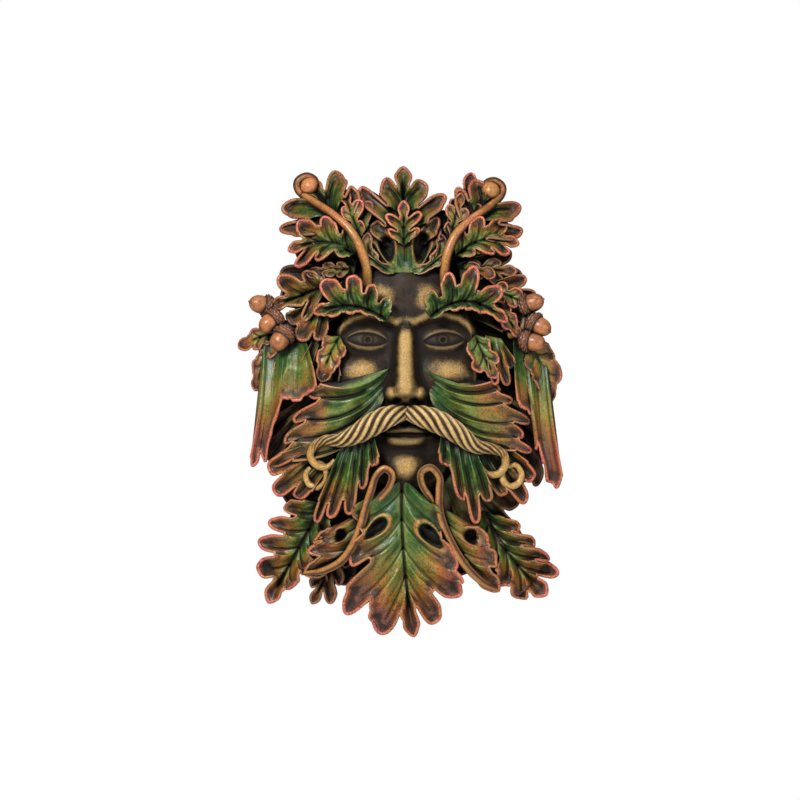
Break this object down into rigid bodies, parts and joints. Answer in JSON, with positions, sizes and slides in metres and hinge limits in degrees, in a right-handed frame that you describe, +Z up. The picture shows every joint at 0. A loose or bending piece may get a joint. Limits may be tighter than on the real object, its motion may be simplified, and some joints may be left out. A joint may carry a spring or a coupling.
{
  "type": "green man wall mask",
  "caption": "Wall mask of a leaf-bearded face looking out of oak leaves and acorns, cast in one piece with a flat back and a hanging slot.",
  "frame": {"origin": "on the flat back, on the mask's centre line, midway between its highest and lowest leaf tips", "axes": "+Y out of the back into the wall, +Z up; the face looks along -Y"},
  "size_m": [0.2072, 0.0667, 0.3005],
  "materials": {
    "painted_resin": "hand-painted satin resin: leaf green with rust and salmon leaf rims, umber face with pale gold highlights"
  },
  "bodies": {
    "root": {"green_man_mask": "painted_resin"}
  },
  "joints": []
}
